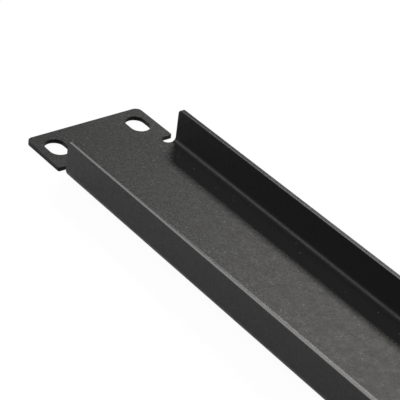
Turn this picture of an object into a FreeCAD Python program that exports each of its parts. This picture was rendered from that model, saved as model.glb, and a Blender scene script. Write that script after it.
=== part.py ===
"""A blanking panel for a 19-inch rack, one unit high: one steel sheet, folded along both long sides.

The panel lies face down, as it rests on a bench. The origin is the middle of its front face, X runs along
the panel, Y across it, and +Z points out of its back, where the two flanges stand.
"""
import FreeCAD, Part
import os

from FreeCAD import Vector

# Sheet and overall size, in millimetres
panel_length = 482.6
panel_height = 44.4
panel_depth = 13.5
sheet = 1.5
bend_inner_radius = 1.6

# Screw slots: their places give the rack's hole pitch of 465.1 by 31.75
slot_from_end = 8.75
slot_from_side = 6.325
slot_width = 6.9
slot_travel = 2.7

# Ears, and the relief notches between them and the flanges
ear_length = 19.4
ear_corner_radius = 2.2
notch_width = 3.7
notch_past_bend = 2.0
notch_mouth_radius = 0.6

# Flange ends, and the break along every cut edge of the sheet
flange_corner_radius = 1.6
edge_break = 0.05

# Worked out from the sizes above
bend_outer_radius = bend_inner_radius + sheet
web_half_height = panel_height / 2 - bend_outer_radius
flange_length = panel_length - 2 * (ear_length + notch_width)
notch_depth = bend_outer_radius + notch_past_bend
notch_from_end = ear_length + notch_width / 2
slot_length = slot_width + slot_travel

SIDES = (-1, 1)
SMOOTH_JOINT = 0.999
TINY = 1e-4


def plate(length, height, centre_x=0.0):
    """A flat piece of the sheet, centred across the panel."""
    return Part.makeBox(length, height, sheet, Vector(centre_x - length / 2, -height / 2, 0))


def obround(length, width, centre, along):
    """A cutter with full-round ends, through the sheet: length overall, running along a unit vector."""
    run = along * (length - width)
    across = Vector(-along.y, along.x, 0) * (width / 2)
    tip = along * (length / 2)
    start = centre - run / 2
    finish = centre + run / 2
    outline = Part.Wire([
        Part.makeLine(start - across, finish - across),
        Part.Arc(finish - across, centre + tip, finish + across).toShape(),
        Part.makeLine(finish + across, start + across),
        Part.Arc(start + across, centre - tip, start - across).toShape(),
    ])
    return Part.Face(outline).extrude(Vector(0, 0, sheet))


def edges_where(shape, test):
    """The straight or curved edges whose middle point passes a test."""
    return [edge for edge in shape.Edges if test(edge.CenterOfMass, edge)]


def rises(edge):
    """True for an edge that goes straight through the sheet."""
    box = edge.BoundBox
    return box.XLength < TINY and box.YLength < TINY


def ears_and_web():
    """The flat of the panel: two full-height ears and the web between the two bends."""
    web = plate(panel_length, 2 * web_half_height)
    ears = [plate(ear_length, panel_height, side * (panel_length - ear_length) / 2) for side in SIDES]
    flat = web.fuse(ears).removeSplitter()

    def at_outer_corner(middle, edge):
        return rises(edge) and abs(middle.x) > panel_length / 2 - TINY

    def at_notch_mouth(middle, edge):
        inner_end = abs(middle.x) < panel_length / 2 - TINY
        return rises(edge) and inner_end and abs(middle.y) > panel_height / 2 - TINY

    flat = flat.makeFillet(ear_corner_radius, edges_where(flat, at_outer_corner))
    return flat.makeFillet(notch_mouth_radius, edges_where(flat, at_notch_mouth))


def screw_slots():
    """One slot near each corner, long way along the panel."""
    x = panel_length / 2 - slot_from_end
    y = panel_height / 2 - slot_from_side
    corners = [Vector(i * x, j * y, 0) for i in SIDES for j in SIDES]
    return [obround(slot_length, slot_width, corner, Vector(1, 0, 0)) for corner in corners]


def relief_notches():
    """A round-ended notch beside each end of each bend, centred on the panel's long edge."""
    x = panel_length / 2 - notch_from_end
    y = panel_height / 2
    mouths = [Vector(i * x, j * y, 0) for i in SIDES for j in SIDES]
    return [obround(2 * notch_depth, notch_width, mouth, Vector(0, 1, 0)) for mouth in mouths]


def flange():
    """The bend and the upright leg along the +Y side, with the leg's two free corners rounded."""
    x = -flange_length / 2
    face_y = panel_height / 2
    bend_y = web_half_height
    bend_z = bend_outer_radius
    slant = 0.5 ** 0.5

    def point(y, z):
        return Vector(x, y, z)

    def bend_middle(radius):
        return point(bend_y + radius * slant, bend_z - radius * slant)

    section = Part.Wire([
        Part.Arc(point(bend_y, 0), bend_middle(bend_outer_radius), point(face_y, bend_z)).toShape(),
        Part.makeLine(point(face_y, bend_z), point(face_y, panel_depth)),
        Part.makeLine(point(face_y, panel_depth), point(face_y - sheet, panel_depth)),
        Part.makeLine(point(face_y - sheet, panel_depth), point(face_y - sheet, bend_z)),
        Part.Arc(point(face_y - sheet, bend_z), bend_middle(bend_inner_radius), point(bend_y, sheet)).toShape(),
        Part.makeLine(point(bend_y, sheet), point(bend_y, 0)),
    ])
    leg = Part.Face(section).extrude(Vector(flange_length, 0, 0))

    def at_free_corner(middle, edge):
        at_end = abs(middle.x) > flange_length / 2 - TINY
        return at_end and middle.z > panel_depth - TINY

    return leg.makeFillet(flange_corner_radius, edges_where(leg, at_free_corner))


def sharp_edges(shape):
    """The edges where two faces meet at an angle: the cut edges of the sheet, not the starts of the bends."""

    def outward(face, point):
        return face.normalAt(*face.Surface.parameter(point))

    sharp = []
    for edge in shape.Edges:
        middle = edge.valueAt((edge.FirstParameter + edge.LastParameter) / 2)
        first, second = shape.ancestorsOfType(edge, Part.Face)
        if outward(first, middle).dot(outward(second, middle)) < SMOOTH_JOINT:
            sharp.append(edge)
    return sharp


def blanking_panel():
    """The whole folded sheet as one solid."""
    flat = ears_and_web().cut(screw_slots() + relief_notches())
    far_flange = flange()
    near_flange = far_flange.mirror(Vector(0, 0, 0), Vector(0, 1, 0))
    folded = flat.fuse([far_flange, near_flange]).removeSplitter()
    return folded.makeChamfer(edge_break, sharp_edges(folded))


os.makedirs("parts", exist_ok=True)
panel = blanking_panel()
panel.exportStep("parts/blanking_panel.step")
print("solids", len(panel.Solids), "valid", panel.isValid(), "faces", len(panel.Faces), "volume", panel.Volume)
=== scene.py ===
"""Looks of the blanking panel: satin black powder coat on the folded sheet, lying face down on a white floor
in soft studio light, seen as in the photograph. Sizes are in metres, in the part's own frame.
"""
import math

import bpy
from mathutils import Matrix, Vector


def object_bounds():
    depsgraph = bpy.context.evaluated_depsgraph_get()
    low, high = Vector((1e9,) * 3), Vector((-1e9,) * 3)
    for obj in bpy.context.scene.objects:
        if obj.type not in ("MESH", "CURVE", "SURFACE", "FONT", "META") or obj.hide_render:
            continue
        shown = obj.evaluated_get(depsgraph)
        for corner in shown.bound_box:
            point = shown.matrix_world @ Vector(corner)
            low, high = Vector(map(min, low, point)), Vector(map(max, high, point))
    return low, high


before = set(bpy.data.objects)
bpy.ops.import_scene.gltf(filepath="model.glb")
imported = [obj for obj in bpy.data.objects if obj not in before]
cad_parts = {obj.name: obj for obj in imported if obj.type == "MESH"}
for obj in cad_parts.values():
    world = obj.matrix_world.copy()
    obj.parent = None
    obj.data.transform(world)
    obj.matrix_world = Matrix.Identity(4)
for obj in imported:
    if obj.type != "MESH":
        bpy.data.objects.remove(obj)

cad_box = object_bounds()
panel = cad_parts["blanking_panel"]
scene = bpy.context.scene

# Thickness of the folded sheet
sheet = 0.0015

# Camera: it looks at a point of the front face, towards its left end. Lens and sensor are in millimetres
camera_target = Vector((-0.18801, 0.00819, 0.0))
camera_distance = 0.50635
camera_azimuth = math.radians(48.485)
camera_elevation = math.radians(33.108)
camera_roll = math.radians(7.643)
camera_lens = 146.297
camera_sensor = 36.0

# Powder coat: a noise runs from 0 to 1, and most of it lies in the noise range, about its middle
coat_colour = (0.0148, 0.0148, 0.0148)
coat_pale_colour = (0.0174, 0.0174, 0.0173)
coat_roughness = 0.42
coat_roughness_spread = 0.03
coat_specular = 0.15
noise_detail = 2.0
noise_range = (0.3, 0.7)
noise_middle = (0.5, 0.5, 0.5)
grain_size = 0.0008
grain_tilt = 0.215
peel_size = 0.0024
peel_height = 0.00002

# Pale flecks, partly dust and partly painted glints of the grain: their radius, and the full colour inside
# it, are shares of their spacing. They lie on faces whose normal points up by at least the first share, and
# show in full from the second
glint_and_dust_colour = (0.125, 0.125, 0.123)
fleck_spacing = 0.0022
fleck_radius = 0.10
fleck_core = 0.05
fleck_upward = (0.7, 0.9)

# The cut rims of the flanges hold a smoother coat, which starts a little below their top. One corner of each
# carries a painted highlight, a pale line on the corner that faces -Y: the outer one at the near side, the
# inner one at the far side
rim_roughness = 0.23
rim_start = 0.00020
rim_full = 0.00010
painted_highlight_colour = (0.17, 0.17, 0.17)
painted_highlight_roughness = 0.60
near_highlight_width = 0.0010
far_highlight_width = 0.0003
far_highlight_share = 0.25

# Painted shade: the cut edges of the ears, slots and notches, low by the floor, are painted darker than the
# faces, and their reflections are tinted dimmer. That fades out where the normal leans up or down, from the
# first share to the second, and just above the sheet's thickness
cut_wall_shade_colour = (0.003, 0.003, 0.003)
face_gloss = (1.0, 1.0, 1.0)
cut_wall_shade_gloss = (0.4, 0.4, 0.4)
wall_shade_lean = (0.30, 0.45)
wall_shade_fade = 0.05 * sheet

# Floor, backdrop and room light
floor_radius = 10.0
floor_rings = 6
floor_gap = 0.0002
sweep_radius = 1.6
sweep_steps = 6
round_steps = 64
floor_colour = (0.80, 0.80, 0.80)
white_strength = 1.0
floor_shown_white = 0.95
floor_mirrored_white = 0.57
room_light = 0.05

# Softboxes: place, the point they face, width and height, watts and colour. The key and its wing hang side
# by side and face straight down
warm = (1.0, 0.96, 0.91)
cool = (0.97, 0.98, 1.0)
neutral = (1.0, 1.0, 1.0)
key_x, key_y, key_z = -1.515, 2.145, 2.60
key_size = (0.78, 0.68)
wing_x = key_x - key_size[0]
stand_size = (0.90, 1.40)
left_half = (-0.15, 0.0, 0.0)
right_half = (0.10, 0.0, 0.0)
SOFTBOXES = {
    "key": ((key_x, key_y, key_z), (key_x, key_y, 0.0), key_size, 75.0, warm),
    "key_wing": ((wing_x, key_y, key_z), (wing_x, key_y, 0.0), key_size, 35.0, neutral),
    "overhead": ((0.0, 0.0, 2.0), left_half, (1.40, 1.00), 17.5, neutral),
    "back": ((1.10, 1.50, 0.80), right_half, stand_size, 38.0, neutral),
    "front": ((-1.336, -1.186, 1.09), left_half, stand_size, 26.0, cool),
}

# Mesh: the faces of the sheet are joined, and the two corners of each small edge break are rounded
weld_distance = 1e-6
flat_angle = math.radians(0.5)
edge_angle = math.radians(30)
edge_round = 0.00003
edge_segments = 3
shading_weight = 100

# The ends of a mask's range
RISING = (0.0, 1.0)
FALLING = (1.0, 0.0)


def node_tree(material):
    """An emptied node tree, with a short way to add nodes and links."""
    material.use_nodes = True
    tree = material.node_tree
    tree.nodes.clear()

    def add(kind, **settings):
        node = tree.nodes.new(kind)
        for name, value in settings.items():
            setattr(node, name, value)
        return node

    return add, tree.links.new


def noise(add, link, place, size):
    """Noise whose blotches are about one size across."""
    texture = add("ShaderNodeTexNoise")
    texture.inputs["Scale"].default_value = 1 / size
    texture.inputs["Detail"].default_value = noise_detail
    link(place, texture.inputs["Vector"])
    return texture


def remap(add, link, value, source, target):
    """A value carried from one range to another, and kept inside it."""
    node = add("ShaderNodeMapRange")
    for name, number in zip(("From Min", "From Max", "To Min", "To Max"), (*source, *target)):
        node.inputs[name].default_value = number
    link(value, node.inputs["Value"])
    return node.outputs["Result"]


def blend(add, link, kind, share, first, second):
    """A mix of two values or colours, each a constant or the output of a node."""
    node = add("ShaderNodeMix", data_type=kind)
    link(share, node.inputs["Factor"])
    for name, source in (("A", first), ("B", second)):
        socket = next(item for item in node.inputs if item.name == name and item.enabled)
        if isinstance(source, bpy.types.NodeSocket):
            link(source, socket)
        else:
            socket.default_value = source
    return next(item for item in node.outputs if item.enabled)


def height_of(add, link, vector):
    """The upward part of a vector."""
    axes = add("ShaderNodeSeparateXYZ")
    link(vector, axes.inputs["Vector"])
    return axes.outputs["Z"]


def joined(add, link, operation, first, second):
    """Two masks added or multiplied, or the larger of the two."""
    node = add("ShaderNodeMath", operation=operation)
    link(first, node.inputs[0])
    link(second, node.inputs[1])
    return node.outputs["Value"]


def rim_masks(add, link, place):
    """1 on the flange rims, and the painted highlight along one corner of each."""
    axes = add("ShaderNodeSeparateXYZ")
    link(place, axes.inputs["Vector"])
    top = cad_box[1].z
    near_corner = cad_box[0].y
    far_corner = cad_box[1].y - sheet

    rim = remap(add, link, axes.outputs["Z"], (top - rim_start, top - rim_full), RISING)
    near = remap(add, link, axes.outputs["Y"], (near_corner, near_corner + near_highlight_width), FALLING)
    at_far = add("ShaderNodeMath", operation="COMPARE")
    at_far.inputs[1].default_value = far_corner
    at_far.inputs[2].default_value = far_highlight_width
    link(axes.outputs["Y"], at_far.inputs[0])
    far = remap(add, link, at_far.outputs["Value"], RISING, (0.0, far_highlight_share))
    corners = joined(add, link, "ADD", near, far)
    return rim, joined(add, link, "MULTIPLY", corners, rim)


def shaded_cut_walls(add, link, place, normal):
    """1 on the upright walls no higher than the flat sheet, so not on the flanges: where the shade is
    painted.
    """
    lean = add("ShaderNodeMath", operation="ABSOLUTE")
    link(height_of(add, link, normal), lean.inputs[0])
    upright = remap(add, link, lean.outputs["Value"], wall_shade_lean, FALLING)
    low = remap(add, link, height_of(add, link, place), (sheet, sheet + wall_shade_fade), FALLING)
    return joined(add, link, "MULTIPLY", upright, low)


def flecks(add, link, place, normal):
    """Sparse small specks, partly dust and partly painted glints, 1 on those that lie on upward faces."""
    cells = add("ShaderNodeTexVoronoi")
    cells.inputs["Scale"].default_value = 1 / fleck_spacing
    link(place, cells.inputs["Vector"])
    speck = remap(add, link, cells.outputs["Distance"], (fleck_radius, fleck_core), RISING)
    upward = remap(add, link, height_of(add, link, normal), fleck_upward, RISING)
    return joined(add, link, "MULTIPLY", speck, upward)


def grained_normal(add, link, grain, peel, rim):
    """The surface's lean: the slow orange peel, and the fine grain where there is no rim."""
    slow = add("ShaderNodeBump")
    slow.inputs["Distance"].default_value = peel_height
    link(peel, slow.inputs["Height"])
    tilt = add("ShaderNodeVectorMath", operation="SUBTRACT")
    tilt.inputs[1].default_value = noise_middle
    link(grain, tilt.inputs[0])
    fine = add("ShaderNodeVectorMath", operation="SCALE")
    link(tilt.outputs["Vector"], fine.inputs["Vector"])
    link(remap(add, link, rim, RISING, (grain_tilt, 0.0)), fine.inputs["Scale"])
    leaning = add("ShaderNodeVectorMath", operation="ADD")
    link(slow.outputs["Normal"], leaning.inputs[0])
    link(fine.outputs["Vector"], leaning.inputs[1])
    grained = add("ShaderNodeVectorMath", operation="NORMALIZE")
    link(leaning.outputs["Vector"], grained.inputs[0])
    return grained.outputs["Vector"]


def powder_coat():
    """Satin black powder coat: a fine grain over a slow orange peel, with pale flecks lying on it that are
    partly painted glints, painted shade on the low walls of the edges, and a painted highlight along one
    corner of each rim.
    """
    material = bpy.data.materials.new("powder_coat")
    add, link = node_tree(material)
    place = add("ShaderNodeTexCoord").outputs["Object"]
    normal = add("ShaderNodeNewGeometry").outputs["Normal"]
    grain = noise(add, link, place, grain_size)
    peel = noise(add, link, place, peel_size).outputs["Fac"]
    rim, highlight_mask = rim_masks(add, link, place)

    coat = blend(add, link, "RGBA", grain.outputs["Fac"], (*coat_colour, 1.0), (*coat_pale_colour, 1.0))
    # Pale flecks: partly dust, partly painted glints of the grain
    glint_and_dust_flecked = blend(add, link, "RGBA", flecks(add, link, place, normal), coat, (*glint_and_dust_colour, 1.0))
    # Painted shade on the low cut walls, in their colour and in the tint of their reflections
    cut = shaded_cut_walls(add, link, place, normal)
    wall_shaded = blend(add, link, "RGBA", cut, glint_and_dust_flecked, (*cut_wall_shade_colour, 1.0))
    # Painted highlight: a pale line along the corner of each rim that faces -Y
    colour = blend(add, link, "RGBA", highlight_mask, wall_shaded, (*painted_highlight_colour, 1.0))
    shaded_gloss = blend(add, link, "RGBA", cut, (*face_gloss, 1.0), (*cut_wall_shade_gloss, 1.0))

    spread = (coat_roughness - coat_roughness_spread, coat_roughness + coat_roughness_spread)
    satin = remap(add, link, peel, noise_range, spread)
    smoother = blend(add, link, "FLOAT", rim, satin, rim_roughness)
    roughness = blend(add, link, "FLOAT", highlight_mask, smoother, painted_highlight_roughness)

    shader = add("ShaderNodeBsdfPrincipled")
    shader.inputs["Specular IOR Level"].default_value = coat_specular
    link(colour, shader.inputs["Base Color"])
    link(shaded_gloss, shader.inputs["Specular Tint"])
    link(roughness, shader.inputs["Roughness"])
    link(grained_normal(add, link, grain.outputs["Color"], peel, rim), shader.inputs["Normal"])
    output = add("ShaderNodeOutputMaterial")
    link(shader.outputs["BSDF"], output.inputs["Surface"])
    return material


def dress_panel():
    """The coat on the CAD sheet, with the corners of its small edge breaks rounded."""
    panel.data.materials.clear()
    panel.data.materials.append(powder_coat())
    join = panel.modifiers.new("join_faces", "WELD")
    join.merge_threshold = weld_distance
    flatten = panel.modifiers.new("whole_flats", "DECIMATE")
    flatten.decimate_type = "DISSOLVE"
    flatten.angle_limit = flat_angle
    rounding = panel.modifiers.new("round_edges", "BEVEL")
    rounding.limit_method = "ANGLE"
    rounding.angle_limit = edge_angle
    rounding.width = edge_round
    rounding.segments = edge_segments
    shading = panel.modifiers.new("even_shading", "WEIGHTED_NORMAL")
    shading.weight = shading_weight


def shown_white(add, link):
    """The share of plain white that the camera sees in the floor, also by reflection or through glass."""
    path = add("ShaderNodeLightPath").outputs
    second_hand = joined(add, link, "MAXIMUM", path["Is Glossy Ray"], path["Is Transmission Ray"])
    seen = remap(add, link, path["Is Camera Ray"], RISING, (0.0, floor_shown_white))
    mirrored = remap(add, link, second_hand, RISING, (0.0, floor_mirrored_white))
    return joined(add, link, "MAXIMUM", seen, mirrored)


def white_sweep():
    """A round white floor that curves up at its edge into a low backdrop."""
    low = cad_box[0].z - floor_gap
    profile = [(floor_radius * (step + 1) / floor_rings, low) for step in range(floor_rings)]
    for step in range(1, sweep_steps + 1):
        turn = math.pi / 2 * step / sweep_steps
        rise = sweep_radius * (1 - math.cos(turn))
        profile.append((floor_radius + sweep_radius * math.sin(turn), low + rise))

    points = [(0.0, 0.0, low)]
    for radius, height in profile:
        for step in range(round_steps):
            angle = 2 * math.pi * step / round_steps
            points.append((radius * math.cos(angle), radius * math.sin(angle), height))

    def ring(index, step):
        return 1 + index * round_steps + step % round_steps

    faces = [(0, ring(0, step), ring(0, step + 1)) for step in range(round_steps)]
    for index in range(len(profile) - 1):
        for step in range(round_steps):
            inner = (ring(index, step + 1), ring(index, step))
            outer = (ring(index + 1, step), ring(index + 1, step + 1))
            faces.append(inner + outer)

    mesh = bpy.data.meshes.new("sweep")
    mesh.from_pydata(points, [], faces)
    mesh.materials.append(sweep_white())
    sweep = bpy.data.objects.new("sweep", mesh)
    scene.collection.objects.link(sweep)


def sweep_white():
    """White paint, mixed with plain white where it is seen, which leaves a faint shadow on it."""
    material = bpy.data.materials.new("sweep_white")
    add, link = node_tree(material)
    paint = add("ShaderNodeBsdfDiffuse")
    paint.inputs["Color"].default_value = (*floor_colour, 1.0)
    white = add("ShaderNodeEmission")
    white.inputs["Strength"].default_value = white_strength
    mix = add("ShaderNodeMixShader")
    link(shown_white(add, link), mix.inputs["Fac"])
    link(paint.outputs["BSDF"], mix.inputs[1])
    link(white.outputs["Emission"], mix.inputs[2])
    output = add("ShaderNodeOutputMaterial")
    link(mix.outputs["Shader"], output.inputs["Surface"])
    return material


def studio_world():
    """A weak even light from the room above the backdrop."""
    world = bpy.data.worlds.new("studio")
    scene.world = world
    add, link = node_tree(world)
    room = add("ShaderNodeBackground")
    room.inputs["Strength"].default_value = room_light
    output = add("ShaderNodeOutputWorld")
    link(room.outputs["Background"], output.inputs["Surface"])


def softboxes():
    """Large soft lamps, out of the camera's sight."""
    for name, (place, target, size, watts, colour) in SOFTBOXES.items():
        lamp = bpy.data.lights.new(name, "AREA")
        lamp.shape = "RECTANGLE"
        lamp.size, lamp.size_y = size
        lamp.energy = watts
        lamp.color = colour
        light = bpy.data.objects.new(name, lamp)
        light.location = place
        light.rotation_mode = "QUATERNION"
        light.rotation_quaternion = (Vector(target) - Vector(place)).to_track_quat("-Z", "Y")
        light.visible_camera = False
        scene.collection.objects.link(light)


def photo_camera():
    """The camera at the photograph's angle."""
    data = bpy.data.cameras.new("camera")
    data.lens = camera_lens
    data.sensor_width = camera_sensor
    camera = bpy.data.objects.new("camera", data)
    place = Matrix.Translation(camera_target)
    heading = Matrix.Rotation(camera_azimuth, 4, "Z")
    tilt = Matrix.Rotation(math.pi / 2 - camera_elevation, 4, "X")
    roll = Matrix.Rotation(camera_roll, 4, "Z")
    back_off = Matrix.Translation((0.0, 0.0, camera_distance))
    camera.matrix_world = place @ heading @ tilt @ roll @ back_off
    scene.collection.objects.link(camera)
    scene.camera = camera


dress_panel()
white_sweep()
studio_world()
softboxes()
photo_camera()
scene.view_settings.view_transform = "Standard"
